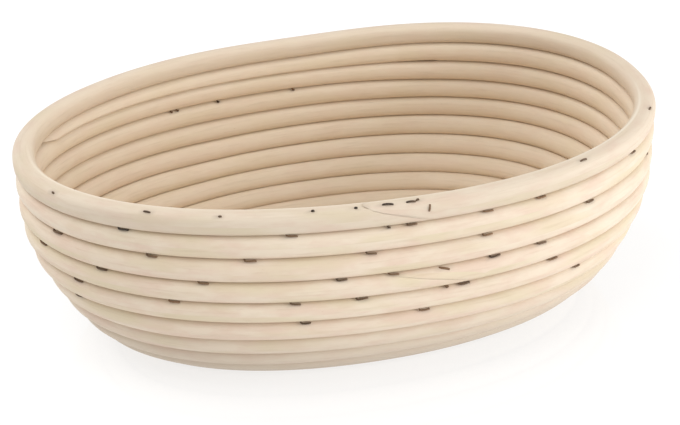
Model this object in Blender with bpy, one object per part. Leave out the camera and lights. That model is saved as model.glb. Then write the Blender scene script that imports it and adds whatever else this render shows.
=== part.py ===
"""Oval proofing basket wound from round rattan cane and held together by wire staples.

Units are metres and +Z is up. The basket stands on z = 0 with the long axis of its oval along X, and
the side with the rim splice faces -Y. Two straight canes lie in the middle of the base. Four lengths of
cane, joined end to end by long tapered splices, wind round them: out over the flat base and up the rounded
side. Every turn keeps its level and steps up to the next one at the left-hand back, where the last turn
runs out in a thin tail. The rim is a hoop on top of it, its ends joined by a splice of their own.
"""

import math

import bmesh
import bpy
from mathutils import Matrix, Vector
from mathutils.geometry import intersect_point_line

MM = 0.001
TAU = math.tau

# Oval of the rim, measured over the outside of its cane
RIM_LENGTH = 248.0 * MM
RIM_WIDTH = 164.6 * MM
OVAL_FULLNESS = 2.15  # exponent of the oval: 2 is an ellipse, more is squarer

# Cane, drawn with the clearance that lets one turn lie free of the next
CANE_DIAMETER = 7.7 * MM
TURN_CLEARANCE = 0.8 * MM
CANE_SIDES = 6
POINTS_PER_TURN = 24

# Side of the basket, followed down from the rim: upright, then a bowl, then a tighter heel
UPRIGHT_HEIGHT = 27.2 * MM
BOWL_RADIUS = 51.5 * MM
BOWL_ANGLE = math.radians(57.0)
HEEL_RADIUS = 11.7 * MM

# Underside, sanded flat where the basket stands, and how much looser its turns lie at the ends of the oval
FLAT_DEPTH = 0.1 * CANE_DIAMETER
END_SPREAD = 1.24

# Ends of the two centre canes, pared down to follow the bend of the innermost turn
CENTRE_PARED_LENGTH = 22.0 * MM
CENTRE_PARED_SHARE = 0.55

# Step from one turn up to the next: where the innermost turn starts it, how far round it takes, and
# how much sooner each turn starts than the one before it
CLIMB_START = math.radians(150.0)
CLIMB_ANGLE = math.radians(90.0)
CLIMB_LEAD = math.radians(4.0)

# Splices: the ends of two canes, thinned from opposite sides, lie on each other
TIP_THICKNESS = 1.2 * MM

# Where each splice is: turns below the rim, and points round from the middle of the front
BASE_SPLICE = (9, 1)
LOWER_SPLICE = (6, 6)
UPPER_SPLICE = (3, 0)
RIM_SPLICE = (0, -0.4)
SPLICES = (BASE_SPLICE, LOWER_SPLICE, UPPER_SPLICE, RIM_SPLICE)

# Wire staples with spreading legs, seated in the grooves between turns
STAPLE_WIRE = 1.1 * MM
STAPLE_CROWN = 5.8 * MM
STAPLE_LEG = 5.5 * MM
STAPLE_BEND = 0.8 * MM
STAPLE_CLEARANCE = 0.3 * MM
LEG_SPREAD = math.radians(40.0)
RIM_STAPLE_SPACING = 15.0 * MM

# Staples of the upper five grooves, in hundredths of a turn round from the middle of the front
GROOVE_STAPLES = (
    (-14.3, -5.3, 5.3, 16.4, 30.2, 44.1, 57.9, 75.5),
    (-19.0, -7.6, -1.1, 12.3, 26.0, 39.8, 53.5, 67.3),
    (-16.0, -10.1, -2.8, 5.8, 21.3, 37.1, 52.6, 69.6),
    (-17.9, -11.8, 9.7, 19.9, 32.6, 45.2, 57.2, 68.5),
    (-4.9, 1.7, 11.9, 25.8, 39.6, 53.5, 67.4, 81.3),
)

# Colours, linear
CANE_COLOUR = (0.78, 0.62, 0.43, 1.0)
RIM_COLOUR = (0.82, 0.67, 0.48, 1.0)
WIRE_COLOUR = (0.16, 0.12, 0.09, 1.0)

# Sizes that follow from the ones above
CANE_RADIUS = CANE_DIAMETER / 2
TURN_PITCH = CANE_DIAMETER + TURN_CLEARANCE
HALF_LENGTH = (RIM_LENGTH - CANE_DIAMETER) / 2
HALF_WIDTH = (RIM_WIDTH - CANE_DIAMETER) / 2
BOWL_RUN = BOWL_RADIUS * BOWL_ANGLE
HEEL_RUN = HEEL_RADIUS * (math.pi / 2 - BOWL_ANGLE)
SIDE_RUN = UPRIGHT_HEIGHT + BOWL_RUN + HEEL_RUN
BASE_HEIGHT = CANE_RADIUS - FLAT_DEPTH
CLIMB_PERIOD = TAU - CLIMB_LEAD
FRONT = -math.pi / 2
STEP = TAU / POINTS_PER_TURN
STAPLE_REACH = 2 * STAPLE_CROWN / HALF_WIDTH  # winding angle that a staple's hole may take up
SMALL_STEP = 1e-4


def side(run):
    """Inset from the rim's oval and drop below it, after this run down the side."""
    if run <= UPRIGHT_HEIGHT:
        return 0.0, run
    if run <= UPRIGHT_HEIGHT + BOWL_RUN:
        angle = (run - UPRIGHT_HEIGHT) / BOWL_RADIUS
        return BOWL_RADIUS * (1 - math.cos(angle)), UPRIGHT_HEIGHT + BOWL_RADIUS * math.sin(angle)
    angle = BOWL_ANGLE + min((run - UPRIGHT_HEIGHT - BOWL_RUN) / HEEL_RADIUS, math.pi / 2 - BOWL_ANGLE)
    inset = BOWL_RADIUS * (1 - math.cos(BOWL_ANGLE)) + HEEL_RADIUS * (math.cos(BOWL_ANGLE) - math.cos(angle))
    drop = BOWL_RADIUS * math.sin(BOWL_ANGLE) + HEEL_RADIUS * (math.sin(angle) - math.sin(BOWL_ANGLE))
    return inset, UPRIGHT_HEIGHT + drop


def signed_power(value, power):
    """Power of a number's size, with the number's sign."""
    return math.copysign(abs(value) ** power, value)


def oval(angle, inset):
    """Point of the rim's oval at an angle, moved inwards square to the oval."""
    along = signed_power(math.cos(angle), 2 / OVAL_FULLNESS)
    across = signed_power(math.sin(angle), 2 / OVAL_FULLNESS)
    normal = Vector((signed_power(along, OVAL_FULLNESS - 1) / HALF_LENGTH,
                     signed_power(across, OVAL_FULLNESS - 1) / HALF_WIDTH))
    return Vector((along * HALF_LENGTH, across * HALF_WIDTH)) - normal.normalized() * inset


# The flat base takes as many whole turns as fit round the two centre canes
BASE_INSET, BASE_DROP = side(SIDE_RUN)
FLAT_LEVEL = SIDE_RUN / TURN_PITCH
BASE_HALF_WIDTH = HALF_WIDTH - BASE_INSET
TURNS = math.floor(FLAT_LEVEL + BASE_HALF_WIDTH / TURN_PITCH - 0.5)
AXIS_LEVEL = TURNS + 0.5
BASE_PITCH = BASE_HALF_WIDTH / (AXIS_LEVEL - FLAT_LEVEL)
CENTRE_HALF = HALF_LENGTH - BASE_INSET - END_SPREAD * BASE_HALF_WIDTH


def place(level, angle):
    """Centre line of the cane at a level, in turns below the rim, and an angle round the oval."""
    inset, drop = side(min(level, FLAT_LEVEL) * TURN_PITCH)
    point = oval(angle, inset)
    if level > FLAT_LEVEL:
        share = (level - FLAT_LEVEL) / (AXIS_LEVEL - FLAT_LEVEL)
        middle = Vector((max(-CENTRE_HALF, min(CENTRE_HALF, point.x)), 0.0))
        point = point.lerp(middle, share)
    return Vector((point.x, point.y, BASE_HEIGHT + BASE_DROP - drop))


# Winding angles, counted from the middle outwards: the last turn's tail and, beyond it, the rim's hoop
TAIL_WINDING = CLIMB_PERIOD * (TURNS - 1)
TAIL_RISE = 1 - (TIP_THICKNESS + TURN_CLEARANCE) / TURN_PITCH
TAIL_END = TAIL_WINDING + CLIMB_ANGLE * TAIL_RISE
RIM_WINDING = CLIMB_PERIOD * TURNS


def risen(winding):
    """Share of the step up to the next level that a winding angle has behind it."""
    return min(1.0, winding % CLIMB_PERIOD / CLIMB_ANGLE)


def level_at(winding):
    """Level of the wound cane, which stays under the rim's, or of the rim."""
    if winding >= RIM_WINDING:
        return 0.0
    return max(1.0, TURNS - winding // CLIMB_PERIOD - risen(winding))


def centre(winding):
    """Centre line of the cane at a winding angle."""
    return place(level_at(winding), CLIMB_START + winding)


def frame(winding):
    """Axes of the cane's section: out of the basket, towards the next turn, and along the cane."""
    level, angle = level_at(winding), CLIMB_START + winding
    along = (centre(winding + SMALL_STEP) - centre(winding - SMALL_STEP)).normalized()
    onward = place(level, angle) - place(level + SMALL_STEP, angle)
    onward = (onward - along * onward.dot(along)).normalized()
    outward = along.cross(onward)
    return Matrix((outward, onward, along)).transposed().to_4x4()


def winding_to(level, angle):
    """Winding angle on a whole level, at an angle round the oval."""
    start = CLIMB_PERIOD * (TURNS - 1 - level) if level else RIM_WINDING
    return start + (angle - CLIMB_START - start) % TAU


def winding_below(winding):
    """Winding angle of the turn under this one; under the rim that is the tail or, past it, a whole turn."""
    below = winding - TAU
    return below - TAU if TAIL_END < below < RIM_WINDING else below


def winding_at(level, way_round):
    """Winding angle on a whole level, at a distance round it from the middle of the front."""
    angle, travelled = FRONT, 0.0
    step = math.copysign(math.radians(0.5), way_round)
    point = place(level, angle)
    while travelled < abs(way_round):
        angle += step
        following = place(level, angle)
        travelled += (following - point).length
        point = following
    return winding_to(level, angle)


def turn_length(level):
    """Length of one turn at a whole level."""
    points = [place(level, TAU * step / POINTS_PER_TURN) for step in range(POINTS_PER_TURN + 1)]
    return sum((after - before).length for before, after in zip(points, points[1:]))


class Splice:
    """Overlap of two canes: the earlier one ends underneath and the later one starts on top."""

    TIP = TIP_THICKNESS / CANE_DIAMETER
    SLOPE = 1 - 2 * TIP - TURN_CLEARANCE / CANE_DIAMETER

    def __init__(self, level, points_round, turns_on=0):
        self.start = winding_to(level, FRONT + points_round * STEP) + turns_on * TAU
        self.end = self.start + STEP
        self.middle = self.start + STEP / 2

    def ending(self, winding):
        """Thickness left on the earlier cane, which is full one point before the overlap."""
        if winding < self.start:
            return 1 - (1 - self.TIP - self.SLOPE) * (winding - self.start + STEP) / STEP
        return self.TIP + self.SLOPE * (self.end - winding) / STEP

    def starting(self, winding):
        """Thickness reached by the later cane, which is full one point after the overlap."""
        return self.ending(2 * self.middle - winding)


class Cane:
    """One length of cane, from a start to an end that are splices, a plain cut or the last turn's tail."""

    def __init__(self, name, colour, first=None, last=None):
        self.name = name
        self.colour = colour
        self.first = first
        self.last = last
        self.start = first.start if first else CLIMB_ANGLE
        self.end = last.end if last else TAIL_END

    def windings(self):
        """Winding angles of the cane's sections, at the even points of every turn and at the tail's tip."""
        count = round((self.end - self.start) / STEP - 0.3)
        return [self.start + k * STEP for k in range(count)] + [self.end]

    def section(self, winding):
        """Thickness share at a winding angle, and which side of the cane is kept: 1 top, -1 bottom."""
        if self.first and winding < self.first.end + STEP:
            return self.first.starting(winding), 1.0
        if self.last and winding > self.last.start - STEP:
            return self.last.ending(winding), -1.0
        if TAIL_WINDING <= winding < RIM_WINDING:
            return (TURN_PITCH * (1 - risen(winding)) - TURN_CLEARANCE) / CANE_DIAMETER, 1.0
        return 1.0, 1.0

    def holds(self, winding):
        """Whether a staple at a winding angle may reach this cane; the rim's hoop goes all the way round."""
        if winding >= RIM_WINDING:
            return self.start >= RIM_WINDING
        return self.start - STAPLE_REACH <= winding <= self.end + STAPLE_REACH

    def middle(self, winding):
        """Middle of the section that is left at a winding angle, and half its thickness."""
        share, kept = self.section(winding)
        onward = frame(winding).col[1].xyz
        return centre(winding) + onward * (kept * CANE_RADIUS * (1 - share)), CANE_RADIUS * share

    def least_gap(self):
        """Least gap of this cane to itself, measured from points to the lines between others."""
        marks = self.windings()
        middles = [self.middle(mark) for mark in marks]
        gaps = []
        for mark, (point, half) in zip(marks, middles):
            for k in range(len(marks) - 1):
                if abs(marks[k] - mark) > TAU / 2:
                    (near, near_half), (far, far_half) = middles[k:k + 2]
                    share = max(0.0, min(1.0, intersect_point_line(point, near, far)[1]))
                    other_half = near_half + (far_half - near_half) * share
                    gaps.append((near.lerp(far, share) - point).length - half - other_half)
        return min(gaps)

    def build(self):
        """Mesh of the cane: sections bridged one to the next, with closed ends and a flat underside."""
        sections = []
        for mark in self.windings():
            share, kept = self.section(mark)
            sections.append(Matrix.Translation(centre(mark)) @ frame(mark) @ pared(share, kept, CANE_RADIUS))
        return tube(self.name, CANE_RADIUS, sections)


def pared(share, kept, radius):
    """Section thinned to a share of its thickness, with the top (1) or the bottom (-1) side kept.

    Its flat sides face out of and into the basket, a full radius from the centre line.
    """
    width = 1 / math.cos(math.pi / CANE_SIDES)
    shift = Matrix.Translation((0.0, kept * radius * (1 - share), 0.0))
    return shift @ Matrix.Diagonal((width, share, 1.0, 1.0))


def tube(name, radius, sections):
    """Closed tube through placed sections, pressed flat where it would pass the standing plane."""
    bm = bmesh.new()
    before = None
    for placed in sections:
        ring = bmesh.ops.create_circle(bm, segments=CANE_SIDES, radius=radius, matrix=placed)["verts"]
        edges = list(dict.fromkeys(edge for vert in ring for edge in vert.link_edges))
        if before is None:
            bmesh.ops.edgeloop_fill(bm, edges=edges)
        else:
            bmesh.ops.bridge_loops(bm, edges=before + edges)
        before = edges
    bmesh.ops.edgeloop_fill(bm, edges=before)
    for vert in bm.verts:
        vert.co.z = max(vert.co.z, 0.0)
    bmesh.ops.recalc_face_normals(bm, faces=bm.faces[:])
    mesh = bpy.data.meshes.new(name)
    bm.to_mesh(mesh)
    bm.free()
    return mesh


class Staple:
    """Wire staple whose crown lies along the canes; its legs may spread to either side."""

    def __init__(self, name, windings, seat, axes, spread):
        self.name = name
        self.windings = windings
        self.seat = seat
        self.outward, self.onward, self.along = (axes.col[k].xyz for k in range(3))
        self.spread = spread

    def path(self, extra):
        """Points along the wire from tip to tip, with the legs longer by extra."""
        reach = STAPLE_CROWN / 2 - STAPLE_WIRE / 2
        inward = -self.outward * math.cos(self.spread)
        aside = self.onward * math.sin(self.spread)
        points = []
        for turn in (-1.0, 1.0):
            corner = self.seat + self.along * (turn * reach)
            leg = (inward - aside * turn).normalized()
            half = [corner + leg * (STAPLE_LEG + extra), corner + leg * STAPLE_BEND,
                    corner - self.along * (turn * STAPLE_BEND)]
            points += half if turn < 0 else half[::-1]
        return points

    def build(self):
        """Mesh of the staple itself."""
        return wire(self.name, self.path(0.0), STAPLE_WIRE / 2)

    def hole(self):
        """Mesh of the hole that the staple makes, wider than the wire all round."""
        return wire(self.name + "_hole", self.path(STAPLE_CLEARANCE), STAPLE_WIRE / 2 + STAPLE_CLEARANCE)


def wire(name, points, half_thickness):
    """Closed square wire along points."""
    curve = bpy.data.curves.new(name, "CURVE")
    curve.dimensions = "3D"
    curve.bevel_depth = half_thickness * math.sqrt(2)
    curve.bevel_resolution = 0
    curve.use_fill_caps = True
    spline = curve.splines.new("POLY")
    spline.points.add(len(points) - 1)
    for point, place_at in zip(spline.points, points):
        point.co = (*place_at, 1.0)
    guide = bpy.data.objects.new(name + "_guide", curve)
    bpy.context.scene.collection.objects.link(guide)
    shape = guide.evaluated_get(bpy.context.evaluated_depsgraph_get())
    mesh = bpy.data.meshes.new_from_object(shape)
    bpy.data.objects.remove(guide)
    bm = bmesh.new()
    bm.from_mesh(mesh)
    bmesh.ops.remove_doubles(bm, verts=bm.verts[:], dist=1e-6)
    bmesh.ops.recalc_face_normals(bm, faces=bm.faces[:])
    bm.to_mesh(mesh)
    bm.free()
    mesh.name = name
    return mesh


def groove_staple(name, upper):
    """Staple in the groove under a winding angle's turn, where the groove is as wide as the wire."""
    lower = winding_below(upper)
    lower_point, upper_point = centre(lower), centre(upper)
    along = frame(upper).col[2].xyz
    onward = upper_point - lower_point
    onward = (onward - along * onward.dot(along)).normalized()
    outward = along.cross(onward)
    half = TURN_PITCH / 2
    depth = math.sqrt(half ** 2 - (half - STAPLE_WIRE / 2) ** 2)
    axes = Matrix((outward, onward, along)).transposed()
    seat = (lower_point + upper_point) / 2 + outward * depth
    return Staple(name, (upper, lower), seat, axes, LEG_SPREAD)


def rim_staple(name, winding):
    """Staple driven down through the rim's splice, its crown let into the top of the cane."""
    axes = frame(winding)
    outward, onward, along = (axes.col[k].xyz for k in range(3))
    turned = Matrix((onward, -outward, along)).transposed()
    seat = centre(winding) + onward * (CANE_RADIUS - STAPLE_WIRE / 2)
    return Staple(name, (winding,), seat, turned, 0.0)


def material(name, colour, roughness, metallic):
    """Plain material with one colour."""
    made = bpy.data.materials.new(name)
    made.use_nodes = True
    shader = made.node_tree.nodes["Principled BSDF"]
    shader.inputs["Base Color"].default_value = colour
    shader.inputs["Roughness"].default_value = roughness
    shader.inputs["Metallic"].default_value = metallic
    return made


def add_object(name, mesh, finish, parent):
    """Object in the scene with a mesh and a material, carried by the basket's empty."""
    made = bpy.data.objects.new(name, mesh)
    mesh.materials.clear()
    mesh.materials.append(finish)
    made.parent = parent
    bpy.context.scene.collection.objects.link(made)
    return made


def drill(cane_object, cane, staples):
    """Cut the holes of the staples that pass through a cane."""
    bm = bmesh.new()
    for staple in staples:
        if any(cane.holds(winding) for winding in staple.windings):
            hole = staple.hole()
            bm.from_mesh(hole)
            bpy.data.meshes.remove(hole)
    mesh = bpy.data.meshes.new(cane.name + "_holes")
    bm.to_mesh(mesh)
    bm.free()
    cutter = bpy.data.objects.new(cane.name + "_holes", mesh)
    cutter.hide_render = True
    cutter.display_type = "WIRE"
    bpy.context.scene.collection.objects.link(cutter)
    cut = cane_object.modifiers.new("staple_holes", "BOOLEAN")
    cut.operation = "DIFFERENCE"
    cut.solver = "EXACT"
    cut.object = cutter


def all_staples():
    """Every staple: the rows in the upper grooves, then those that pin the splices."""
    staples = []
    for row, places in enumerate(GROOVE_STAPLES, 1):
        for k, hundredths in enumerate(places, 1):
            winding = winding_at(row - 1, hundredths / 100 * turn_length(row - 1))
            staples.append(groove_staple(f"groove_{row}_staple_{k}", winding))
    base, lower, upper, rim = (Splice(*where).middle for where in SPLICES)
    for side_name, share in (("left", -0.5), ("right", 0.5)):
        winding = rim + share * RIM_STAPLE_SPACING / HALF_LENGTH
        staples.append(rim_staple(f"rim_splice_staple_{side_name}", winding))
    staples.append(groove_staple("rim_splice_staple_under", rim))
    for name, middle in (("upper", upper), ("lower", lower), ("base", base)):
        staples.append(groove_staple(f"{name}_splice_staple_over", middle + TAU))
        staples.append(groove_staple(f"{name}_splice_staple_under", middle))
    return staples


def all_canes():
    """The four wound lengths, from the middle of the base to the last turn's tail, and the rim's hoop."""
    base, lower, upper, rim = (Splice(*where) for where in SPLICES)
    return [Cane("base_cane", CANE_COLOUR, last=base),
            Cane("lower_wall_cane", CANE_COLOUR, first=base, last=lower),
            Cane("middle_wall_cane", CANE_COLOUR, first=lower, last=upper),
            Cane("upper_wall_cane", CANE_COLOUR, first=upper),
            Cane("rim_cane", RIM_COLOUR, first=rim, last=Splice(*RIM_SPLICE, turns_on=1))]


def centre_cane(name, side_of_axis):
    """Straight cane in the middle of the base: the two of them fill what the innermost turn leaves."""
    diameter = 1.5 * BASE_PITCH - CANE_RADIUS - 1.5 * TURN_CLEARANCE
    across = side_of_axis * (diameter + TURN_CLEARANCE) / 2
    full = CENTRE_HALF - 2 * CENTRE_PARED_LENGTH / 3
    turned = Matrix(((0.0, 0.0, -1.0), (0.0, 1.0, 0.0), (1.0, 0.0, 0.0))).transposed().to_4x4()
    sections = []
    for x, share in ((-full - CENTRE_PARED_LENGTH, CENTRE_PARED_SHARE), (-full, 1.0), (full, 1.0),
                     (full + CENTRE_PARED_LENGTH, CENTRE_PARED_SHARE)):
        placed = Matrix.Translation((x, across, diameter / 2 - FLAT_DEPTH)) @ turned
        sections.append(placed @ pared(share, -side_of_axis, diameter / 2))
    return tube(name, diameter / 2, sections)


def main():
    """Build the basket."""
    for old in list(bpy.data.objects):
        bpy.data.objects.remove(old)
    basket = bpy.data.objects.new("proofing_basket", None)
    bpy.context.scene.collection.objects.link(basket)
    steel = material("staple_wire", WIRE_COLOUR, 0.45, 1.0)
    staples = all_staples()
    for side_name, side_of_axis in (("front", -1.0), ("back", 1.0)):
        name = f"centre_cane_{side_name}"
        add_object(name, centre_cane(name, side_of_axis), material(name, CANE_COLOUR, 0.6, 0.0), basket)
    for cane in all_canes():
        made = add_object(cane.name, cane.build(), material(cane.name, cane.colour, 0.6, 0.0), basket)
        drill(made, cane, staples)
        print(f"{cane.name}: least gap to itself {cane.least_gap() / MM:.2f} mm")
    for staple in staples:
        add_object(staple.name, staple.build(), steel, basket)
    print(f"{TURNS} turns, base pitch {BASE_PITCH / MM:.2f} mm, {len(staples)} staples")


main()
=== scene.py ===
"""Oval proofing basket of round, peeled rattan cane, dressed for a studio picture.

Lengths are metres and +Z is up. The basket stands on z = 0 with its long axis along X, and the side
with the rim splice faces -Y.
"""

from __future__ import annotations

import logging
import math
from abc import ABC, abstractmethod
from dataclasses import dataclass, field, replace
from enum import Enum
from functools import cached_property
from typing import ClassVar, NamedTuple

import bmesh
import bpy
from mathutils import Matrix, Vector, kdtree, noise

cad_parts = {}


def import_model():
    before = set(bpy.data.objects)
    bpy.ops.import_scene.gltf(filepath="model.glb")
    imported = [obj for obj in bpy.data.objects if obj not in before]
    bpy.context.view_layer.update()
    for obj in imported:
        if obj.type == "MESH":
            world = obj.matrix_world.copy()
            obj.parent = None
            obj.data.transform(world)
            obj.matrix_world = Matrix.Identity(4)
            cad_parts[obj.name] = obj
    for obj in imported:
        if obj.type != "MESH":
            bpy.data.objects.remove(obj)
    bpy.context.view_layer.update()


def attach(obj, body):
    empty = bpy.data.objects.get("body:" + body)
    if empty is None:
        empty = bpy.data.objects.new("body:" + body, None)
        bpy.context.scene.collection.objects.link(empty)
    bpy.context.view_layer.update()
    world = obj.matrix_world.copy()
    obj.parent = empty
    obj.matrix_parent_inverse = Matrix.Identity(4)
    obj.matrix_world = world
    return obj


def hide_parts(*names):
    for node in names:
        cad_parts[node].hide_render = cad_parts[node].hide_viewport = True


LOG = logging.getLogger("proofing_basket")
MM = 0.001
TAU = math.tau
FRONT = -math.pi / 2
SMALL_STEP = 1e-4
WALK_STEP = math.radians(0.5)
LENGTH_STEPS = 72
WHOLE = 0.97  # share of its thickness from which a pared cane counts as whole
SEAM_GAP = 1e-7
BRUISE_AT = 0.42  # share of the crown from its middle to a bruise
BODY = "root"
UV_MAP = "cane"
MIX_COLOURS = (6, 7)  # colour inputs of a mix node
MIX_RESULT = 2  # its colour output
WHITE = (1.0, 1.0, 1.0, 1.0)

Colour = tuple[float, float, float, float]
Span = tuple[float, float]
Triple = tuple[float, float, float]
Rows = tuple[tuple[float, ...], ...]
Socket = bpy.types.NodeSocket
Value = Socket | Colour | float


class Kept(Enum):
    """Side of a pared cane that keeps its full outline."""

    TOP = 1.0
    BOTTOM = -1.0


def signed_power(value: float, power: float) -> float:
    """Power of a number's size, with the number's sign."""
    return math.copysign(abs(value) ** power, value)


def smooth(low: float, high: float, value: float) -> float:
    """Smooth step from 0 at low to 1 at high."""
    share = max(0.0, min(1.0, (value - low) / (high - low)))
    return share * share * (3 - 2 * share)


@dataclass(frozen=True)
class BasketForm:
    """Rule that every turn of the basket follows: an oval, a side profile and a stepped winding.

    The rim is a hoop on top of the wound cane, whose last turn runs out in a tail under it. A level
    counts turns down from the rim. The fields from lead_in on say how the hand-wound turns stray from
    the rule. Lifts are those of the front left, front right, back left and back right.
    """

    half_length: float = 120.15 * MM
    half_width: float = 78.45 * MM
    fullness: float = 2.15
    pitch: float = 8.5 * MM
    upright: float = 27.2 * MM
    bowl_radius: float = 51.5 * MM
    bowl_angle: float = math.radians(57.0)
    heel_radius: float = 11.7 * MM
    base_height: float = 3.08 * MM
    end_spread: float = 1.12
    turns: int = 15
    climb_start: float = math.radians(150.0)
    climb_angle: float = math.radians(90.0)
    climb_lead: float = math.radians(4.0)
    tail_share: float = 0.79
    lead_in: float = math.radians(32.0)
    end_draw: float = 5.2 * MM
    end_draw_levels: Span = (2.5, 6.0)
    end_power: int = 4
    early_climb: float = math.radians(32.0)
    early_turns: tuple[float, ...] = (1.0, 0.8, 0.4)
    early_slope: float = 0.72
    early_power: int = 8
    rim_lift: tuple[float, ...] = (2.3 * MM, 0.3 * MM, -1.9 * MM, 2.0 * MM)
    wall_lift: tuple[float, ...] = (0.7 * MM, -1.7 * MM, -1.3 * MM, 1.4 * MM)
    lift_reach: Span = (75.0 * MM, 70.0 * MM)
    lift_levels: Span = (3.5, 8.0)
    rim_levels: Span = (0.9, 2.1)
    back_dip: float = 1.1 * MM
    dip_reach: float = 40.0 * MM
    dip_span: Span = (0.5, 1.0)
    base_shift: Span = (0.1 * MM, -1.2 * MM)
    base_shift_levels: Span = (3.0, 8.0)

    @cached_property
    def bowl_run(self) -> float:
        """Length of the bowl's arc down the side."""
        return self.bowl_radius * self.bowl_angle

    @cached_property
    def side_run(self) -> float:
        """Whole length of the side, from the rim to the flat base."""
        return self.upright + self.bowl_run + self.heel_radius * (math.pi / 2 - self.bowl_angle)

    @cached_property
    def flat_level(self) -> float:
        """Level where the flat base begins."""
        return self.side_run / self.pitch

    @cached_property
    def base_side(self) -> Span:
        """Inset and drop of the flat base."""
        return self.side(self.side_run)

    @property
    def axis_level(self) -> float:
        """Level of the long axis in the middle of the base."""
        return self.turns + 0.5

    @property
    def cane_start(self) -> float:
        """Winding angle where the innermost cane starts."""
        return self.climb_angle - self.lead_in

    @property
    def climb_period(self) -> float:
        """Winding angle from the start of one step up to the start of the next."""
        return TAU - self.climb_lead

    @property
    def tail_start(self) -> float:
        """Winding angle where the last turn begins to thin."""
        return self.climb_period * (self.turns - 1) - self.early_climb

    @property
    def tail_end(self) -> float:
        """Winding angle of the last turn's tip."""
        return self.climb_period * (self.turns - 1) + self.climb_angle * self.tail_share

    @property
    def rim_winding(self) -> float:
        """Winding angle from which on the rim's hoop is counted."""
        return self.climb_period * self.turns

    def side(self, run: float) -> Span:
        """Follow the side down from the rim.

        Args:
            run: Length down the side.

        Returns:
            Inset from the rim's oval and drop below it.
        """
        if run <= self.upright:
            return 0.0, run
        if run <= self.upright + self.bowl_run:
            angle = (run - self.upright) / self.bowl_radius
            drop = self.bowl_radius * math.sin(angle)
            return self.bowl_radius * (1 - math.cos(angle)), self.upright + drop
        angle = min(math.pi / 2, self.bowl_angle + (run - self.upright - self.bowl_run) / self.heel_radius)
        inset = self.bowl_radius * (1 - math.cos(self.bowl_angle))
        inset += self.heel_radius * (math.cos(self.bowl_angle) - math.cos(angle))
        drop = self.bowl_radius * math.sin(self.bowl_angle)
        drop += self.heel_radius * (math.sin(angle) - math.sin(self.bowl_angle))
        return inset, self.upright + drop

    def oval(self, angle: float, inset: float) -> Vector:
        """Point of the rim's oval at an angle, moved inwards square to the oval."""
        along = signed_power(math.cos(angle), 2 / self.fullness)
        across = signed_power(math.sin(angle), 2 / self.fullness)
        normal = Vector((signed_power(along, self.fullness - 1) / self.half_length,
                         signed_power(across, self.fullness - 1) / self.half_width))
        return Vector((along * self.half_length, across * self.half_width)) - normal.normalized() * inset

    def place(self, level: float, angle: float) -> Vector:
        """Centre line of the cane.

        Args:
            level: Turns below the rim.
            angle: Angle round the oval.

        Returns:
            Point in the basket's frame.
        """
        base_inset, base_drop = self.base_side
        inset, drop = self.side(min(level, self.flat_level) * self.pitch)
        drawn_in = self.end_draw * smooth(*self.end_draw_levels, level) * math.cos(angle) ** self.end_power
        point = self.oval(angle, inset + drawn_in)
        if level > self.flat_level:
            core = self.half_length - base_inset - self.end_spread * (self.half_width - base_inset)
            share = (level - self.flat_level) / (self.axis_level - self.flat_level)
            point = point.lerp(Vector((max(-core, min(core, point.x)), 0.0)), share)
        height = self.base_height + base_drop - drop + self.lift(point, level)
        shift = Vector(self.base_shift) * smooth(*self.base_shift_levels, level)
        return Vector((point.x + shift.x, point.y + shift.y, height))

    def lift(self, point: Vector, level: float) -> float:
        """Height by which the hand-wound turns stray from level.

        Args:
            point: Place in plan.
            level: Turns below the rim.

        Returns:
            Height to add.
        """
        right, back = (0.5 + part / (2 * reach) for part, reach in zip(point, self.lift_reach))
        as_rim = 1 - smooth(*self.rim_levels, level)
        dip = self.back_dip * math.exp(-(point.x / self.dip_reach) ** 2) * smooth(*self.dip_span, back)
        front_left, front_right, back_left, back_right = (
            wall + (rim - wall) * as_rim for wall, rim in zip(self.wall_lift, self.rim_lift))
        front = front_left + (front_right - front_left) * right
        rear = back_left + (back_right - back_left) * right
        return (front + (rear - front) * back - dip * as_rim) * (1 - smooth(*self.lift_levels, level))

    def level_at(self, winding: float) -> float:
        """Level that the wound cane, which stays under the rim, or the rim has at a winding angle."""
        if winding >= self.rim_winding:
            return 0.0
        turn, part = divmod(winding + self.early_climb, self.climb_period)
        step = max(0.0, min(1.0, (part - self.early_climb) / self.climb_angle))
        slow = min(1.0, part / (self.climb_angle + self.early_climb))
        above = self.turns - 2 - int(turn)
        early = self.early_turns[above] if 0 <= above < len(self.early_turns) else 0.0
        eased = self.early_slope * slow + (1 - self.early_slope) * slow ** self.early_power
        return max(1.0, self.turns - turn - step - early * (eased - step))

    def in_tail(self, winding: float | None) -> bool:
        """Whether a winding angle lies on the tail."""
        return winding is not None and self.tail_start < winding < self.rim_winding

    def above(self, winding: float) -> float | None:
        """Winding angle of the turn over this one, or None over the rim."""
        if winding >= self.rim_winding:
            return None
        if winding + TAU <= self.tail_end:
            return winding + TAU
        return self.rim_winding + (winding - self.rim_winding) % TAU

    def below(self, winding: float) -> float | None:
        """Winding angle of the turn under this one, or None inside the innermost turn."""
        under = winding - TAU
        if winding >= self.rim_winding:
            under = self.rim_winding + (winding - self.rim_winding) % TAU - TAU
            under -= TAU if under > self.tail_end else 0.0
        return under if under >= self.cane_start else None

    def centre(self, winding: float) -> Vector:
        """Centre line of the cane at a winding angle, counted from the middle outwards."""
        return self.place(self.level_at(winding), self.climb_start + winding)

    def axes(self, winding: float) -> tuple[Vector, Vector, Vector]:
        """Axes of the cane's section.

        Args:
            winding: Winding angle.

        Returns:
            Directions out of the basket, towards the next turn and along the cane.
        """
        level, angle = self.level_at(winding), self.climb_start + winding
        along = (self.centre(winding + SMALL_STEP) - self.centre(winding - SMALL_STEP)).normalized()
        onward = self.place(level, angle) - self.place(level + SMALL_STEP, angle)
        onward = (onward - along * onward.dot(along)).normalized()
        return along.cross(onward), onward, along

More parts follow.
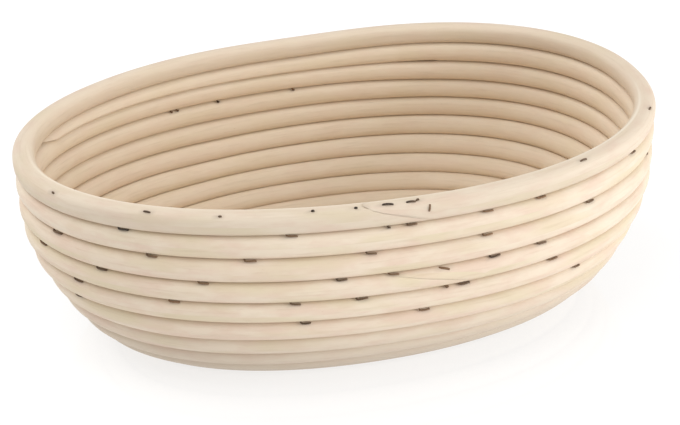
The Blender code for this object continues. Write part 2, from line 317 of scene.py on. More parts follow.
    def spacing(self, winding: float, other: float) -> float:
        """Distance between two turns, square to the first."""
        along = self.axes(winding)[2]
        apart = self.centre(other) - self.centre(winding)
        return (apart - along * apart.dot(along)).length

    def winding_to(self, level: int, angle: float) -> float:
        """Winding angle on a whole level, at an angle round the oval."""
        start = self.climb_period * (self.turns - 1 - level) if level else self.rim_winding
        return start + (angle - self.climb_start - start) % TAU

    def winding_at(self, level: int, way_round: float) -> float:
        """Winding angle on a whole level, at a distance round it from the middle of the front."""
        angle, travelled = FRONT, 0.0
        step = math.copysign(WALK_STEP, way_round)
        point = self.place(level, angle)
        while travelled < abs(way_round):
            angle += step
            following = self.place(level, angle)
            travelled += (following - point).length
            point = following
        return self.winding_to(level, angle)

    def turn_length(self, level: int) -> float:
        """Length of one turn at a whole level."""
        points = [self.place(level, TAU * k / LENGTH_STEPS) for k in range(LENGTH_STEPS + 1)]
        return sum((after - before).length for before, after in zip(points, points[1:]))


@dataclass(frozen=True)
class Splice:
    """Overlap of two canes: the earlier one ends underneath and the later one starts on top."""

    form: BasketForm
    level: int
    way_round: float
    length: float = 38.0 * MM
    turns_on: int = 0

    @cached_property
    def middle(self) -> float:
        """Winding angle of the middle of the overlap."""
        return self.form.winding_at(self.level, self.way_round) + self.turns_on * TAU

    @cached_property
    def span(self) -> float:
        """Winding angle that the overlap takes up."""
        here = self.middle
        speed = (self.form.centre(here + SMALL_STEP) - self.form.centre(here - SMALL_STEP)).length
        return self.length * 2 * SMALL_STEP / speed


class OutlinePoint(NamedTuple):
    """Point round a cane's section: its place in it, its share of the girth and the marks there."""

    out: float
    rise: float
    way: float
    groove: float
    inner: float
    painted_highlight: float


@dataclass
class Section:
    """One section of a cane: where it is, how it is turned and how much of it the splice leaves."""

    centre: Vector
    outward: Vector
    onward: Vector
    depth: float
    up: float
    down: float
    share: float = 1.0
    kept: Kept = Kept.TOP
    tone: float = 0.0
    is_rim: bool = False
    squareness: float = 2.5
    chord: int = 3
    groove_from: ClassVar[float] = 0.86
    inner_span: ClassVar[Span] = (0.25, -0.35)
    ridge_angle: ClassVar[float] = 2.02
    ridge_width: ClassVar[float] = 0.32
    # Painted shade and dust along the straight cut of a splice
    cut_dust_and_shade: ClassVar[float] = 0.2

    def outline(self, sides: int) -> list[OutlinePoint]:
        """Points round the section, cut off straight where the cane is pared.

        Args:
            sides: Number of points.

        Returns:
            The points, in order round the section.
        """
        if self.share >= 1:
            return [self._curve(TAU * k / sides, k / sides) for k in range(sides)]
        corner, cut = self._cut()
        from_top = self.kept is Kept.TOP
        first = (3 if from_top else 1) * sides // 4 + self.chord
        start = corner if from_top else math.pi - corner
        sweep = math.pi - 2 * corner if from_top else math.pi + 2 * corner
        arc = sides - 2 * self.chord
        points: dict[int, OutlinePoint] = {}
        for step in range(arc + 1):
            index = (first + step) % sides
            points[index] = self._curve(start + sweep * step / arc, index / sides)
        before, after = points[(first + arc) % sides], points[first % sides]
        for end in (first + arc, first):
            points[end % sides] = points[end % sides]._replace(groove=0.0, rise=cut)
        # The straight cut gets painted shade and dust
        for step in range(1, 2 * self.chord):
            share = step / (2 * self.chord)
            out = before.out + (after.out - before.out) * share
            way = before.way + (after.way - before.way) * share
            points[(first + arc + step) % sides] = OutlinePoint(out, cut, way, self.cut_dust_and_shade, 0.0, 0.0)
        return [points[index] for index in range(sides)]

    def _curve(self, angle: float, near: float) -> OutlinePoint:
        """Point of the whole outline at an angle, whose share of the girth is the one nearest to near."""
        out = signed_power(math.cos(angle), 2 / self.squareness)
        rise = signed_power(math.sin(angle), 2 / self.squareness)
        way = angle / TAU
        way += round(near - way)
        over = self.is_rim and rise > 0
        # Painted shade and dust towards the grooves above and below the cane, none on the rim's top
        groove = 0.0 if over else smooth(self.groove_from, 1.0, abs(rise))
        # Painted highlight along the rim's top inner edge
        from_ridge = abs((angle - self.ridge_angle + math.pi) % TAU - math.pi)
        painted_highlight = 1 - smooth(0.0, self.ridge_width, from_ridge) if over else 0.0
        return OutlinePoint(out * self.depth, rise * (self.up if rise > 0 else self.down), way, groove,
                            smooth(*self.inner_span, out), painted_highlight)

    def _cut(self) -> Span:
        """Angle of the straight cut's outer corner, and the cut's height."""
        whole = self.up + self.down
        cut = self.up - self.share * whole if self.kept is Kept.TOP else self.share * whole - self.down
        level = cut / (self.up if cut > 0 else self.down)
        return math.asin(signed_power(max(-1.0, min(1.0, level)), self.squareness / 2)), cut


class Grain(NamedTuple):
    """Noise in patches of a length along the cane and a width across it."""

    length: float
    width: float
    detail: float
    rough: float = 0.55


@dataclass(frozen=True)
class NodePen:
    """Short hand for the nodes that the finishes are drawn with."""

    tree: bpy.types.NodeTree

    def feed(self, target: Socket, value: Value) -> None:
        """Link a socket to an input, or set the input to a plain value."""
        if isinstance(value, Socket):
            self.tree.links.new(value, target)
        else:
            target.default_value = value

    def node(self, kind: str, inputs: dict[str, Value]) -> bpy.types.Node:
        """New node of a kind, with its inputs fed."""
        made = self.tree.nodes.new(kind)
        for name, value in inputs.items():
            self.feed(made.inputs[name], value)
        return made

    def noise(self, vector: Socket, scale: float, detail: float, rough: float = 0.55) -> Socket:
        """Noise on a vector."""
        inputs = {"Vector": vector, "Scale": scale, "Detail": detail, "Roughness": rough}
        return self.node("ShaderNodeTexNoise", inputs).outputs["Fac"]

    def grain(self, vector: Socket, grain: Grain) -> Socket:
        """Noise stretched along the cane."""
        scale = (1 / grain.length, 1 / grain.width, 1.0)
        stretched = self.node("ShaderNodeMapping", {"Vector": vector, "Scale": scale})
        return self.noise(stretched.outputs["Vector"], 1.0, grain.detail, grain.rough)

    def attribute(self, name: str) -> Socket:
        """One of the piece's own attributes."""
        node = self.tree.nodes.new("ShaderNodeAttribute")
        node.attribute_name = name
        return node.outputs["Fac"]

    def add(self, first: Socket, second: Socket) -> Socket:
        """Sum of two values, kept between 0 and 1."""
        node = self.tree.nodes.new("ShaderNodeMath")
        node.operation = "ADD"
        node.use_clamp = True
        for target, value in zip(node.inputs, (first, second)):
            self.feed(target, value)
        return node.outputs[0]

    def ramp(self, value: Socket, low: float, high: float, bottom: float = 0.0, top: float = 1.0) -> Socket:
        """Value spread from bottom at low to top at high."""
        inputs = {"Value": value, "From Min": low, "From Max": high, "To Min": bottom, "To Max": top}
        return self.node("ShaderNodeMapRange", inputs).outputs["Result"]

    def mix(self, share: Socket, first: Value, second: Value) -> Socket:
        """Mix of two colours, each a socket or a plain colour."""
        node = self.tree.nodes.new("ShaderNodeMix")
        node.data_type = "RGBA"
        self.feed(node.inputs["Factor"], share)
        for place, value in zip(MIX_COLOURS, (first, second)):
            self.feed(node.inputs[place], value)
        return node.outputs[MIX_RESULT]


@dataclass(frozen=True)
class Finish(ABC):
    """Look of a surface, as a node material."""

    name: str

    def material(self) -> bpy.types.Material:
        """Build the node material."""
        made = bpy.data.materials.new(self.name)
        made.use_nodes = True
        pen = NodePen(made.node_tree)
        shader = made.node_tree.nodes["Principled BSDF"]
        for name, value in self.surface(pen).items():
            pen.feed(shader.inputs[name], value)
        return made

    @abstractmethod
    def surface(self, pen: NodePen) -> dict[str, Value]:
        """Draw the nodes, and say what each input of the shader gets."""


@dataclass(frozen=True)
class CaneFinish(Finish):
    """Peeled rattan: pale, with fine streaks along the cane, warm patches, dust and painted shade in the
    grooves, painted shade inside, low on the wall and on the rim, and a painted highlight on the rim.
    """

    name: str = "peeled_rattan"
    pale: Colour = (0.76, 0.65, 0.515, 1.0)
    pink: Colour = (0.72, 0.565, 0.445, 1.0)
    straw: Colour = (0.69, 0.585, 0.415, 1.0)
    # Painted shade: darker, warmer colour of the inner faces
    inner_shade: Colour = (0.755, 0.625, 0.47, 1.0)
    streak: Colour = (0.47, 0.35, 0.23, 1.0)
    # Painted shade and dust in the grooves and along splice cuts
    groove_dust_and_shade: Colour = (0.52, 0.405, 0.285, 1.0)
    # Painted shade, low on the outer wall and on the rim
    painted_shade: Colour = (0.50, 0.42, 0.335, 1.0)
    # Painted highlight along the rim's top inner edge
    painted_highlight: Colour = (0.86, 0.78, 0.65, 1.0)
    bruise: Colour = (0.06, 0.038, 0.022, 1.0)
    fibres: Grain = Grain(20.0 * MM, 1.1 * MM, 4.0, 0.65)
    patches: Grain = Grain(15.0 * MM, 6.0 * MM, 3.0)
    bands: Grain = Grain(34.0 * MM, 11.0 * MM, 2.0)
    flecks: Grain = Grain(2.2 * MM, 0.5 * MM, 2.0)
    roughness: Span = (0.52, 0.7)
    specular: float = 0.3
    bump_strength: float = 0.4
    bump_depth: float = 0.25 * MM

    def surface(self, pen: NodePen) -> dict[str, Value]:
        """Lay the coats over the pale cane, along its own UV map."""
        uv = pen.tree.nodes.new("ShaderNodeUVMap")
        uv.uv_map = UV_MAP
        grains = self.fibres, self.patches, self.bands, self.flecks
        fibres, patches, bands, flecks = (pen.grain(uv.outputs["UV"], grain) for grain in grains)
        warmth = pen.add(pen.attribute("tone"), pen.ramp(patches, 0.42, 0.62, top=0.9))
        colour = pen.mix(warmth, self.pale, self.pink)
        full = (0.0, 1.0)
        coats = (
            (bands, (0.48, 0.66), 0.85, self.straw),
            # Painted shade on the inner faces
            (pen.attribute("inner"), full, 0.6, self.inner_shade),
            (fibres, (0.52, 0.85), 0.4, self.streak),
            (flecks, (0.70, 0.80), 0.3, self.streak),
            # Painted shade, low on the outer wall and on the rim
            (pen.attribute("shade"), full, 1.0, self.painted_shade),
            # Painted shade and dust in the grooves
            (pen.attribute("groove"), full, 0.55, self.groove_dust_and_shade),
            # Painted highlight along the rim's top inner edge
            (pen.attribute("painted_highlight"), full, 0.75, self.painted_highlight),
            (pen.attribute("bruise"), full, 1.0, self.bruise),
        )
        for source, span, strength, coat in coats:
            colour = pen.mix(pen.ramp(source, *span, top=strength), colour, coat)
        bump = pen.node("ShaderNodeBump", {
            "Strength": self.bump_strength, "Distance": self.bump_depth, "Height": fibres})
        return {"Base Color": colour, "Roughness": pen.ramp(fibres, 0.3, 0.8, *self.roughness),
                "Specular IOR Level": self.specular, "Normal": bump.outputs["Normal"]}


@dataclass(frozen=True)
class WireFinish(Finish):
    """Dull, darkened staple wire."""

    name: str = "darkened_wire"
    dark: Colour = (0.045, 0.030, 0.020, 1.0)
    rust: Colour = (0.24, 0.14, 0.075, 1.0)
    rust_scale: float = 28.0
    roughness: Span = (0.42, 0.7)
    metallic: float = 0.3

    def surface(self, pen: NodePen) -> dict[str, Value]:
        """Scatter rust over dark wire."""
        place = pen.tree.nodes.new("ShaderNodeTexCoord")
        rusty = pen.noise(place.outputs["Object"], self.rust_scale, 2.0)
        return {"Base Color": pen.mix(pen.ramp(rusty, 0.36, 0.62), self.dark, self.rust),
                "Roughness": pen.ramp(rusty, 0.3, 0.7, *self.roughness), "Metallic": self.metallic}


@dataclass(frozen=True)
class FloorFinish(Finish):
    """White floor, lit through like a light table, with a faint gloss."""

    name: str = "white_sweep"
    grey: Colour = (0.3, 0.3, 0.3, 1.0)
    roughness: float = 0.06
    specular: float = 0.5
    glow: float = 0.70

    def surface(self, pen: NodePen) -> dict[str, Value]:
        """Plain values alone."""
        return {"Base Color": self.grey, "Roughness": self.roughness, "Specular IOR Level": self.specular,
                "Emission Color": WHITE, "Emission Strength": self.glow}


def add_object(name: str, data: bpy.types.ID) -> bpy.types.Object:
    """New object in the scene."""
    made = bpy.data.objects.new(name, data)
    bpy.context.scene.collection.objects.link(made)
    return made


def add_mesh(name: str, bm: bmesh.types.BMesh, finish: bpy.types.Material) -> bpy.types.Object:
    """New object from a mesh, which is freed, and its material."""
    mesh = bpy.data.meshes.new(name)
    bm.to_mesh(mesh)
    bm.free()
    mesh.materials.append(finish)
    return add_object(name, mesh)


def add_piece(name: str, bm: bmesh.types.BMesh, finish: bpy.types.Material,
              nodes: list[str]) -> None:
    """Put a finished mesh into the scene as a piece of the basket.

    Args:
        name: Name of the piece.
        bm: Its mesh, which is freed.
        finish: Its material.
        nodes: CAD nodes that it stands for.
    """
    made = add_mesh(name, bm, finish)
    made.data.shade_smooth()
    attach(made, BODY)
    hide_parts(*nodes)
    LOG.info("%s: %d faces", name, len(made.data.polygons))


@dataclass
class CaneSkin:
    """Lays a fine skin over the sections of a cane."""

    bruises: kdtree.KDTree
    sides: int = 28
    bruise_reach: float = 1.5 * MM
    bruise_core: float = 0.2
    bruise_depth: float = 0.22
    # Painted shade: heights over which the outer wall darkens towards the base, its strength there, and on
    # the rim
    shade_heights: Span = (4.0 * MM, 38.0 * MM)
    low_wall_shade: float = 0.8
    rim_shade: float = 0.28
    # Depths over which the painted highlight on the rim fades in towards the front
    highlight_depths: Span = (10.0 * MM, -40.0 * MM)
    mark_names: ClassVar[tuple[str, ...]] = ("tone", "shade", "groove", "inner", "painted_highlight", "bruise")

    def marks(self, section: Section, point: OutlinePoint, place: Vector) -> tuple[float, ...]:
        """Values of the attributes that the finish reads, at a point of a section."""
        # Painted shade: the outer wall darker towards the base, the whole rim darker
        low = 1 - smooth(*self.shade_heights, place.z)
        shade = self.rim_shade * section.is_rim + self.low_wall_shade * low * (1 - point.inner)
        # Painted highlight on the rim, only towards the front
        painted_highlight = point.painted_highlight * smooth(*self.highlight_depths, place.y)
        distance = self.bruises.find(place)[2] / self.bruise_reach
        bruise = self.bruise_depth * (1 - smooth(self.bruise_core, 1.0, distance))
        return section.tone, shade, point.groove, point.inner, painted_highlight, bruise

    def lay(self, sections: list[Section], seed: float) -> bmesh.types.BMesh:
        """Bend a flat grid round the sections and close it.

        Args:
            sections: Sections from one end of the cane to the other.
            seed: Where on the grain this cane's pattern starts.

        Returns:
            Mesh with a UV map in metres and the attributes that the finish reads.
        """
        bm = bmesh.new()
        uv = bm.loops.layers.uv.new(UV_MAP)
        count = len(sections) - 1
        bmesh.ops.create_grid(bm, x_segments=count, y_segments=self.sides, size=0.5)
        layers = [bm.verts.layers.float.new(name) for name in self.mark_names]
        outlines = [section.outline(self.sides) for section in sections]
        lengths = [seed]
        for before, after in zip(sections, sections[1:]):
            lengths.append(lengths[-1] + (after.centre - before.centre).length)
        girth = TAU * sections[count // 2].depth
        seam = []
        grain: dict[bmesh.types.BMVert, Span] = {}
        for vert in bm.verts:
            station = round((vert.co.x + 0.5) * count)
            turn = round((vert.co.y + 0.5) * self.sides)
            if turn in (0, self.sides):
                seam.append(vert)
            section = sections[station]
            point = outlines[station][turn % self.sides]
            grain[vert] = lengths[station], (point.way + turn // self.sides) * girth
            vert.co = section.centre + section.outward * point.out + section.onward * point.rise
            vert.co.z = max(vert.co.z, 0.0)
            for layer, value in zip(layers, self.marks(section, point, vert.co)):
                vert[layer] = value
        for face in bm.faces:
            for loop in face.loops:
                loop[uv].uv = grain[loop.vert]
        bmesh.ops.remove_doubles(bm, verts=seam, dist=SEAM_GAP)
        bmesh.ops.holes_fill(bm, edges=[edge for edge in bm.edges if edge.is_boundary], sides=0)
        bmesh.ops.recalc_face_normals(bm, faces=bm.faces[:])
        return bm


@dataclass
class WoundCane:
    """One wound length of cane, from one splice to the next."""

    name: str
    form: BasketForm
    seed: float
    first: Splice | None = None
    last: Splice | None = None
    radius: float = 4.25 * MM
    rim_rise: float = 3.8 * MM
    rim_radius: float = 4.15 * MM
    seam: float = 0.01 * MM
    tip: float = 0.004
    tip_run: float = math.radians(9.0)
    tip_fill: float = 0.6 * MM
    step: float = math.radians(1.25)
    wander: float = 0.28 * MM
    wander_rate: float = 1.3
    wander_row: float = 2.5
    unevenness: float = 0.03
    swell_rate: float = 1.7
    swell_row: float = 9.0
    least: float = 0.84
    most: float = 1.36
    pressed: float = 0.14 * MM
    warmth: float = 0.10
    tone_swing: float = 0.35
    tone_rate: float = 0.55
    tone_row: float = 4.0
    squareness: float = 2.25
    rim_squareness: float = 2.6

    @cached_property
    def start(self) -> float:
        """Winding angle where the cane starts."""
        return self.first.middle - self.first.span / 2 if self.first else self.form.cane_start

    @cached_property
    def end(self) -> float:
        """Winding angle where the cane ends."""
        return self.last.middle + self.last.span / 2 if self.last else self.form.tail_end

    def thickness(self, winding: float) -> tuple[float, Kept]:
        """Share of the cane that is left at a winding angle.

        Args:
            winding: Winding angle.

        Returns:
            The share, and the side that keeps its outline.
        """
        clear = self.seam / (2 * self.radius)
        if self.first and winding < self.start + self.first.span:
            return max(self.tip, (winding - self.start) / self.first.span - clear), Kept.TOP
        if self.last and winding > self.end - self.last.span:
            return max(self.tip, (self.end - winding) / self.last.span - clear), Kept.BOTTOM
        if self.form.in_tail(winding):
            room, pointed = self._tail(winding)
            share = max(self.tip, min(1.0, room / (2 * self.radius)) * pointed - clear)
            return 1.0 if share > WHOLE else share, Kept.TOP
        return 1.0, Kept.TOP

    def _tail(self, winding: float) -> Span:
        """Room between rim and wall at a place on the tail, and the share of it that the tail fills."""
        room = self.form.spacing(self.form.below(winding), self.form.above(winding)) - 2 * self.radius
        return max(0.0, room), min(1.0, (self.form.tail_end - winding) / self.tip_run)

    def section(self, winding: float) -> Section:
        """Section of the cane at a winding angle, with its small unevenness."""
        form = self.form
        is_rim = winding >= form.rim_winding
        radius = self.rim_radius if is_rim else self.radius
        outward, onward, _ = form.axes(winding)
        share, kept = self.thickness(winding)
        shake = Vector((winding * self.wander_rate, self.wander_row, 0.0))
        swelling = shake * self.swell_rate + Vector((0.0, 0.0, self.swell_row))
        swell = 1 + self.unevenness * noise.noise(swelling)
        centre = form.centre(winding) + outward * (self.wander * noise.noise(shake))
        toning = Vector((winding * self.tone_rate, self.seed, self.tone_row))
        tone = self.warmth + self.tone_swing * noise.noise(toning)
        above, below = form.above(winding), form.below(winding)
        up = self._under_tail(above, radius) if form.in_tail(above) else self._half(winding, above, radius)
        down = radius if form.in_tail(winding) else self._half(winding, below, radius)
        return Section(centre, outward, onward, radius * swell, up, down, share, kept, tone, is_rim,
                       self.rim_squareness if is_rim else self.squareness)

    def _under_tail(self, tail: float, radius: float) -> float:
        """Half height of the turn under the tail, which fills what the pointed tip leaves open."""
        room, pointed = self._tail(tail)
        return min(self.most * radius, radius + (room + self.tip_fill) * (1 - pointed))

    def _half(self, winding: float, other: float | None, radius: float) -> float:
        """Half height of a cane that fills its share of the spacing, within what a round cane can do."""
        if other is None:
            return self.rim_rise if winding >= self.form.rim_winding else radius
        half = self.form.spacing(winding, other) / 2 + self.pressed
        if self.form.in_tail(other):
            half += self.tip_fill * (1 - self._tail(other)[1])
        return max(self.least * radius, min(self.most * radius, half))

    def build(self, skin: CaneSkin, finish: bpy.types.Material) -> None:
        """Build the length of cane as a piece that stands for its CAD node."""
        length = self.end - self.start
        count = math.ceil(length / self.step)
        sections = [self.section(self.start + length * k / count) for k in range(count + 1)]
        add_piece(self.name + "_skin", skin.lay(sections, self.seed), finish, [self.name])


@dataclass
class CentreCane:
    """Straight cane in the middle of the base, pared at both ends."""

    name: str
    form: BasketForm
    side: float
    half_length: float = 45.6 * MM
    pared: float = 15.0 * MM
    left_share: float = 0.48
    diameter: float = 8.55 * MM
    gap: float = 0.15 * MM
    height: float = 3.35 * MM
    offset: float = -1.6 * MM
    steps: int = 60
    tone: float = 0.2

    def build(self, skin: CaneSkin, finish: bpy.types.Material) -> None:
        """Build the cane as a piece that stands for its CAD node."""
        sections = []
        radius = self.diameter / 2
        kept = Kept.BOTTOM if self.side > 0 else Kept.TOP
        outward, onward = Vector((0.0, 0.0, -1.0)), Vector((0.0, 1.0, 0.0))
        for k in range(self.steps + 1):
            x = self.half_length * (2 * k / self.steps - 1)
            whole = (self.half_length - abs(x)) / self.pared
            share = 1.0 if whole > WHOLE else self.left_share + (1 - self.left_share) * whole
            centre = Vector((*self.form.base_shift, self.height))
            centre += Vector((x + self.offset, self.side * (radius + self.gap / 2), 0.0))
            sections.append(Section(centre, outward, onward, *[radius] * 3, share, kept, self.tone))
        add_piece(self.name + "_skin", skin.lay(sections, self.side), finish, [self.name])


@dataclass
class Staple:
    """One wire staple: where its crown lies and how it is turned."""

    seat: Vector
    outward: Vector
    onward: Vector
    along: Vector
    crown: float = 4.4 * MM
    tilt: float = 0.0
    spread: float = math.radians(35.0)


@dataclass
class StapleRow:
    """Wire staples that show in one groove, or at one splice."""

    name: str
    nodes: list[str]
    staples: list[Staple] = field(default_factory=list)
    wire: float = 0.72 * MM
    sides: int = 6
    leg: float = 3.4 * MM
    bend: float = 0.7 * MM
    knee: float = 0.3
    bow: float = 0.12

    def build(self, finish: bpy.types.Material) -> None:
        """Sweep the wire of every staple and add the row as one piece."""
        row = bmesh.new()
        swept = bpy.data.meshes.new("swept_wire")
        for staple in self.staples:
            bm = bmesh.new()
            self._sweep(bm, self._path(staple))
            bmesh.ops.recalc_face_normals(bm, faces=bm.faces[:])
            if bm.calc_volume(signed=True) < 0:
                bmesh.ops.reverse_faces(bm, faces=bm.faces[:])
            bm.to_mesh(swept)
            bm.free()
            row.from_mesh(swept)
        bpy.data.meshes.remove(swept)
        add_piece(self.name, row, finish, self.nodes)

    def _path(self, staple: Staple) -> list[Vector]:
        """Points along the wire from tip to tip."""
        along = staple.along * math.cos(staple.tilt) + staple.onward * math.sin(staple.tilt)
        aside = along.cross(staple.outward)
        reach = max(staple.crown / 2 - self.wire / 2, self.wire / 2)
        halves = []
        for turn in (-1.0, 1.0):
            corner = staple.seat + along * (turn * reach)
            leg = aside * (turn * math.sin(staple.spread)) - staple.outward * math.cos(staple.spread)
            knee = corner - along * (turn * self.knee * self.bend) + leg * (self.knee * self.bend)
            halves.append([corner + leg * self.leg, corner + leg * self.bend, knee,
                           corner - along * (turn * self.bend)])
        middle = staple.seat + staple.outward * (self.bow * self.wire)
        return halves[0] + [middle] + halves[1][::-1]

    def _sweep(self, bm: bmesh.types.BMesh, points: list[Vector]) -> None:
        """Round wire along points, with closed ends."""
        before: list[bmesh.types.BMEdge] = []
        for k, point in enumerate(points):
            ahead = points[min(k + 1, len(points) - 1)] - points[max(k - 1, 0)]
            turned = ahead.to_track_quat("Z", "Y").to_matrix().to_4x4()
            ring = bmesh.ops.create_circle(bm, segments=self.sides, radius=self.wire / 2,
                                           matrix=Matrix.Translation(point) @ turned)["verts"]
            edges = list(dict.fromkeys(edge for vert in ring for edge in vert.link_edges))
            if before:
                bmesh.ops.bridge_loops(bm, edges=before + edges)
            else:
                bmesh.ops.edgeloop_fill(bm, edges=edges)
            before = edges
        bmesh.ops.edgeloop_fill(bm, edges=before)


class FaceMark(NamedTuple):
    """Staple let into a turn's face: its way round, lean from the top in degrees, tilt and crown."""

    way: float
    lean: float
    tilt: float
    crown: float


@dataclass
class StaplePlan:
    """Where the staples are.

    Those in the upper grooves are in hundredths of a turn round from the middle of the front: the driven
    ones and the others that the front shows. Round the back one more stands between each two. Ways and
    crowns of those at the splices are in millimetres.
    """

    form: BasketForm
    seat_depth: float = 3.05 * MM
    face_radius: float = 4.3 * MM
    squareness: float = 2.4
    sunk: float = 0.05 * MM
    driven: Rows = (
        (-14.3, -5.3, 5.3, 16.4, 30.2, 44.1, 57.9, 75.5),
        (-19.0, -7.6, -1.1, 12.3, 26.0, 39.8, 53.5, 67.3),
        (-16.0, -10.1, -2.8, 5.8, 21.3, 37.1, 52.6, 69.6),
        (-17.9, -11.8, 9.7, 19.9, 32.6, 45.2, 57.2, 68.5),
        (-4.9, 1.7, 11.9, 25.8, 39.6, 53.5, 67.4, 81.3),
    )
    shown: Rows = ((8.6,), (-12.8, 5.3), (-20.7, 0.0, 8.8), (-5.3, -1.7), ())
    hidden_from: float = 11.0
    widest_gap: float = 9.0
    inside: Rows = ((), (56.0, 58.9, 59.4), (50.6,), (), ())
    inside_crown: float = 0.3
    tilt_swing: float = 0.2
    tilt_seed: Triple = (3.7, 5.1, 0.5)
    crown_swing: float = 0.14
    crown_seed: Triple = (2.3, 7.7, 3.5)
    hidden_tilts: Span = (-0.05, -0.28)
    upper_face: FaceMark = FaceMark(18.0, 40.0, -0.32, 4.8)
    upper_grooves: tuple[Span, ...] = ((19.0, 1.5), (24.9, 4.8))
    upper_tilt: float = 0.05
    upper_wire: float = 0.95 * MM
    rim_faces: tuple[FaceMark, ...] = tuple(FaceMark(*mark) for mark in (
        (-12.0, 22.0, 0.0, 1.3), (-0.4, 22.0, -0.12, 4.4), (6.0, 24.0, -0.08, 3.8),
        (8.6, 17.0, 0.5, 2.0), (11.6, 66.0, 1.35, 3.0), (-82.0, 34.0, -0.1, 3.2),
        (-120.0, 44.0, -0.2, 2.2), (-57.0, 36.0, 0.0, 1.2), (-26.0, 18.0, 0.0, 1.1),
        (75.0, 24.0, -0.05, 3.6), (126.0, 32.0, -0.1, 2.8)))
    rim_grooves: tuple[Span, ...] = ((-1.4, 1.6), (6.4, 4.2))
    rim_tilt: float = 0.06

    def groove(self, winding: float, tilt: float, side: float = 1.0) -> Staple:
        """Staple in the groove under the turn at a winding angle.

        Args:
            winding: Winding angle of the turn over the groove.
            tilt: Angle of the crown to the groove.
            side: 1 for a crown outside the basket, -1 for one inside.
        """
        upper, lower = self.form.centre(winding), self.form.centre(self.form.below(winding))
        along = self.form.axes(winding)[2]
        onward = upper - lower
        onward = (onward - along * onward.dot(along)).normalized()
        outward = along.cross(onward) * side
        return Staple((upper + lower) / 2 + outward * self.seat_depth, outward, onward, along, tilt=tilt)

    @staticmethod
    def _chance(k: int, number: int, seed: Triple) -> float:
        """Chance value of one staple of a groove, the same in each run."""
        return noise.noise(Vector((k * seed[0], number * seed[1], seed[2])))

    def ways(self, number: int) -> list[float]:
        """Places of one groove's crowns outside, in order."""
        found = sorted(self.driven[number - 1] + self.shown[number - 1])
        gaps = [pair for pair in zip(found, found[1:]) if pair[0] > self.hidden_from]
        return found + [sum(pair) / 2 for pair in gaps if pair[1] - pair[0] > self.widest_gap]

    def row(self, number: int) -> StapleRow:
        """Staples of one groove, counted from the rim.

        Args:
            number: Groove, 1 for the one under the rim.

        Returns:
            The row, with the CAD nodes that it stands for.
        """
        level = number - 1
        hundredth = self.form.turn_length(level) / 100
        staples = []
        for k, way in enumerate(self.ways(number)):
            tilt = self.tilt_swing * self._chance(k, number, self.tilt_seed)
            staple = self.groove(self.form.winding_at(level, way * hundredth), tilt)
            staple.crown *= 1 + self.crown_swing * self._chance(k, number, self.crown_seed)
            staples.append(staple)
        for way in self.inside[level]:
            staple = self.groove(self.form.winding_at(level, way * hundredth), 0.0, -1.0)
            staple.crown *= self.inside_crown
            staples.append(staple)
        nodes = [f"groove_{number}_staple_{k}" for k in range(1, len(self.driven[level]) + 1)]
        return StapleRow(f"groove_{number}_staples", nodes, staples)

    def on_face(self, level: int, mark: FaceMark) -> Staple:
        """Staple let into the face of a turn on a whole level."""
        winding = self.form.winding_at(level, mark.way * MM)
        outward, onward, along = self.form.axes(winding)
        over, out = math.cos(math.radians(mark.lean)), math.sin(math.radians(mark.lean))
        power = self.squareness
        reach = self.face_radius / (abs(over) ** power + out ** power) ** (1 / power)
        up = onward * over + outward * out
        seat = self.form.centre(winding) + up * (reach - self.sunk)
        return Staple(seat, up, up.cross(along), along, mark.crown * MM, mark.tilt, 0.0)

    def in_groove(self, level: int, places: tuple[Span, ...], tilt: float) -> list[Staple]:
        """Staples in the groove under a turn, from their ways round and crowns."""
        return [replace(self.groove(self.form.winding_at(level, way * MM), tilt), crown=crown * MM)
                for way, crown in places]

    def splice_row(self, name: str, staples: list[Staple], ends: tuple[str, ...]) -> StapleRow:
        """Row of the staples at one splice, with the CAD nodes that it stands for."""
        return StapleRow(f"{name}_splice_staples", [f"{name}_splice_staple_{end}" for end in ends], staples)

    def all_rows(self, upper: Splice, lower: Splice, base: Splice) -> list[StapleRow]:
        """Every row of staples.

        Args:
            upper: Splice in the fourth turn, which the photograph shows.
            lower: Splice of the middle and lower wall, which it doesn't show.
            base: Splice of the lower wall and base, which it doesn't show.

        Returns:
            The rows of the grooves first, then those of the splices.
        """
        rows = [self.row(number) for number in range(1, len(self.driven) + 1)]
        staples = [self.on_face(0, mark) for mark in self.rim_faces]
        staples += self.in_groove(0, self.rim_grooves, self.rim_tilt)
        rows.append(self.splice_row("rim", staples, ("left", "right", "under")))
        staples = [self.on_face(upper.level, self.upper_face)]
        staples += self.in_groove(upper.level, self.upper_grooves, self.upper_tilt)
        rows.append(replace(self.splice_row("upper", staples, ("over", "under")), wire=self.upper_wire))
        for name, splice in (("lower", lower), ("base", base)):
            windings = splice.middle, self.form.above(splice.middle)
            staples = [self.groove(winding, tilt) for winding, tilt in zip(windings, self.hidden_tilts)]
            rows.append(self.splice_row(name, staples, ("over", "under")))
        return rows


def bruise_tree(rows: list[StapleRow]) -> kdtree.KDTree:
    """Tree of the places near the ends of every crown, where the staples bruise the cane."""
    tree = kdtree.KDTree(sum(len(row.staples) for row in rows) * 2)
    for row in rows:
        for staple in row.staples:
            for end in (-BRUISE_AT, BRUISE_AT):
                tree.insert(staple.seat + staple.along * (end * staple.crown), 0)
    tree.balance()
    return tree


class Lamp(NamedTuple):
    """Soft square light: its name, its place, the length of its side and its power in watts."""

    name: str
    where: Triple
    size: float
    power: float


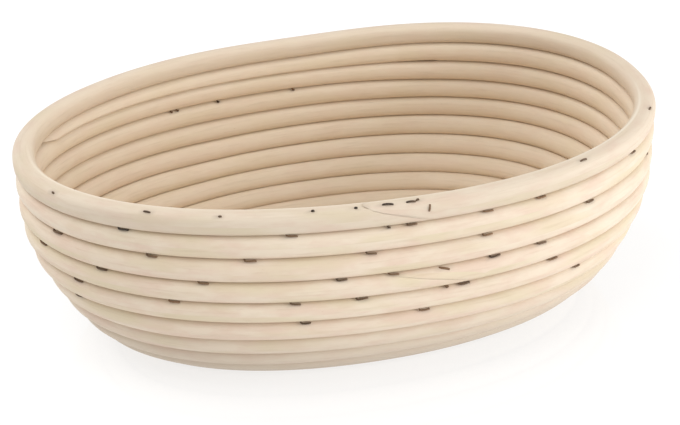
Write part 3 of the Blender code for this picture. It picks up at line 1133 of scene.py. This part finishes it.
@dataclass
class Studio:
    """White sweep, soft lights and the camera."""

    azimuth: float = math.radians(-12.0)
    elevation: float = math.radians(29.47)
    roll: float = math.radians(-1.935)
    distance: float = 569.0 * MM
    lens: float = 75.12
    sensor: float = 36.0
    nearest: float = 10.0 * MM
    aim_right: float = -0.956 * MM
    aim_height: float = 33.72 * MM
    floor_reach: float = 6.0
    lamps: tuple[Lamp, ...] = (
        Lamp("key_right", (1.05, -0.66, 0.34), 0.6, 9.2),
        Lamp("back_left", (-0.8, 0.7, 0.9), 0.8, 5.5),
        Lamp("front_top", (-0.40, -0.28, 1.2), 0.7, 4.6),
    )
    lit_height: float = 40.0 * MM
    world_strength: float = 0.67

    def camera(self) -> None:
        """Camera at the photograph's viewing angle."""
        back = Vector((math.sin(self.azimuth) * math.cos(self.elevation),
                       -math.cos(self.azimuth) * math.cos(self.elevation), math.sin(self.elevation)))
        right = Vector((math.cos(self.azimuth), math.sin(self.azimuth), 0.0))
        up = back.cross(right)
        across = right * math.cos(self.roll) + up * math.sin(self.roll)
        upward = up * math.cos(self.roll) - right * math.sin(self.roll)
        target = right * self.aim_right + Vector((0.0, 0.0, self.aim_height))
        data = bpy.data.cameras.new("camera")
        data.lens = self.lens
        data.sensor_width = self.sensor
        data.clip_start = self.nearest
        made = add_object("camera", data)
        made.matrix_world = (Matrix.Translation(target + back * self.distance)
                             @ Matrix((across, upward, back)).transposed().to_4x4())
        bpy.context.scene.camera = made

    def floor(self) -> None:
        """Wide white floor that the basket stands on."""
        bm = bmesh.new()
        bmesh.ops.create_grid(bm, x_segments=1, y_segments=1, size=self.floor_reach)
        made = add_mesh("floor", bm, FloorFinish().material())

    def light(self, lamp: Lamp) -> None:
        """Soft light aimed at the basket."""
        data = bpy.data.lights.new(lamp.name, "AREA")
        data.size = lamp.size
        data.energy = lamp.power
        made = add_object(lamp.name, data)
        made.location = lamp.where
        aim = Vector((0.0, 0.0, self.lit_height)) - Vector(lamp.where)
        made.rotation_euler = aim.to_track_quat("-Z", "Y").to_euler()

    def build(self) -> None:
        """Set up floor, lights, world and camera."""
        self.floor()
        for lamp in self.lamps:
            self.light(lamp)
        world = bpy.data.worlds.new("studio_world")
        world.use_nodes = True
        background = world.node_tree.nodes["Background"]
        background.inputs["Color"].default_value = WHITE
        background.inputs["Strength"].default_value = self.world_strength
        bpy.context.scene.world = world
        settings = bpy.context.scene.view_settings
        settings.view_transform = "Standard"
        settings.look = "None"
        self.camera()


def main() -> None:
    """Load the frame, dress the basket and set up the studio."""
    logging.basicConfig(level=logging.INFO, format="%(name)s %(message)s")
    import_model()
    form = BasketForm()
    base = Splice(form, level=9, way_round=43.0 * MM)
    lower = Splice(form, level=6, way_round=163.0 * MM)
    upper = Splice(form, level=3, way_round=15.0 * MM)
    rim = Splice(form, level=0, way_round=3.5 * MM, length=27.0 * MM)
    rim_end = replace(rim, turns_on=1)

    rattan = CaneFinish().material()
    wire = WireFinish().material()
    rows = StaplePlan(form).all_rows(upper, lower, base)
    skin = CaneSkin(bruise_tree(rows))
    canes = (
        CentreCane("centre_cane_front", form, side=-1.0),
        CentreCane("centre_cane_back", form, side=1.0),
        WoundCane("base_cane", form, seed=1.5, last=base),
        WoundCane("lower_wall_cane", form, seed=4.5, first=base, last=lower),
        WoundCane("middle_wall_cane", form, seed=8.5, first=lower, last=upper),
        WoundCane("upper_wall_cane", form, seed=12.5, first=upper),
        WoundCane("rim_cane", form, seed=17.5, first=rim, last=rim_end),
    )
    for cane in canes:
        cane.build(skin, rattan)
    for row in rows:
        row.build(wire)

    Studio().build()
    bpy.context.view_layer.update()


if __name__ == "__main__":
    main()
